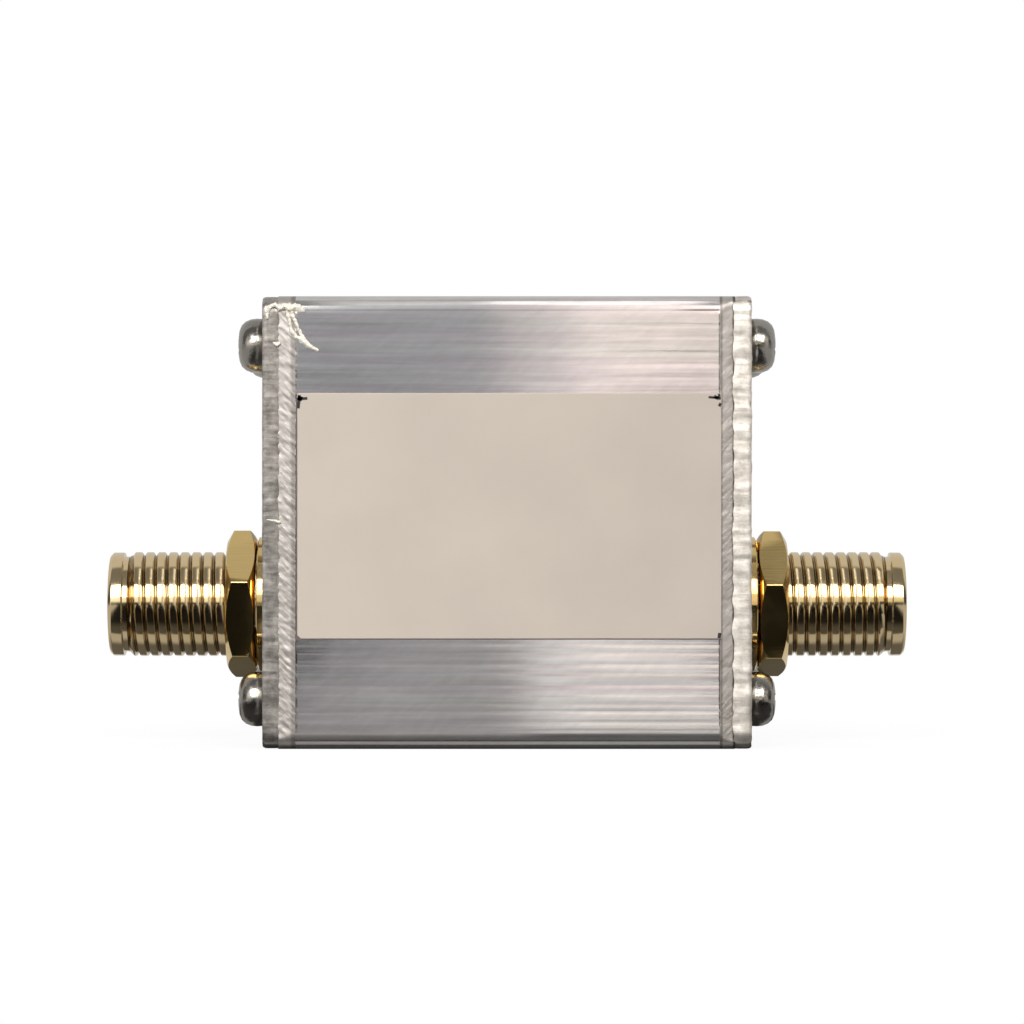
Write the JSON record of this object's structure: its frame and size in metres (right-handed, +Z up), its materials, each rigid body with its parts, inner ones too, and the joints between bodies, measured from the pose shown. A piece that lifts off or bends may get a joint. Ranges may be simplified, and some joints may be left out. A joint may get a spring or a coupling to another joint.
{
  "type": "rf notch filter",
  "caption": "Inline radio-frequency notch filter: a short aluminium box with a threaded gold-plated coaxial jack at each end and a plain label.",
  "frame": {"origin": "middle of the narrow face that the housing stands on", "axes": "+X from the left jack to the right one as seen from the label, +Y from the labelled face to the back, +Z up"},
  "size_m": [0.0484, 0.0162, 0.027],
  "materials": {
    "extruded_aluminium": "mill finish with fine lines along the extrusion",
    "sawn_aluminium": "sheared and filed sheet with rough edges",
    "nickel_plated_steel": "bright nickel plate",
    "gold_plated_brass": "bright gold plate over turned brass",
    "gold_plated_copper": "gold plate",
    "white_fluoropolymer": "waxy white",
    "label_paper": "matt coated paper",
    "glass_laminate": "solder mask over glass laminate",
    "enamelled_copper_wire": "clear enamel over copper wire",
    "chip_ceramic": "fired, matt",
    "tin_solder": "satin"
  },
  "bodies": {
    "root": {"housing_tube": "extruded_aluminium", "end_plate_left": "sawn_aluminium", "screw_left_front_lower": "nickel_plated_steel", "screw_left_front_upper": "nickel_plated_steel", "screw_left_back_lower": "nickel_plated_steel", "screw_left_back_upper": "nickel_plated_steel", "jack_shell_left": "gold_plated_brass", "jack_insulator_left": "white_fluoropolymer", "jack_contact_left": "gold_plated_copper", "lock_washer_left": "gold_plated_brass", "hex_nut_left": "gold_plated_brass", "end_plate_right": "sawn_aluminium", "screw_right_front_lower": "nickel_plated_steel", "screw_right_front_upper": "nickel_plated_steel", "screw_right_back_lower": "nickel_plated_steel", "screw_right_back_upper": "nickel_plated_steel", "jack_shell_right": "gold_plated_brass", "jack_insulator_right": "white_fluoropolymer", "jack_contact_right": "gold_plated_copper", "lock_washer_right": "gold_plated_brass", "hex_nut_right": "gold_plated_brass", "front_label": "label_paper", "filter_board": "glass_laminate", "series_coil_left": "enamelled_copper_wire", "series_capacitor_left": "chip_ceramic", "solder_joint_left": "tin_solder", "series_coil_right": "enamelled_copper_wire", "series_capacitor_right": "chip_ceramic", "solder_joint_right": "tin_solder", "shunt_coil_left": "enamelled_copper_wire", "shunt_capacitor_left": "chip_ceramic", "shunt_coil_middle": "enamelled_copper_wire", "shunt_capacitor_middle": "chip_ceramic", "shunt_coil_right": "enamelled_copper_wire", "shunt_capacitor_right": "chip_ceramic"}
  },
  "joints": []
}
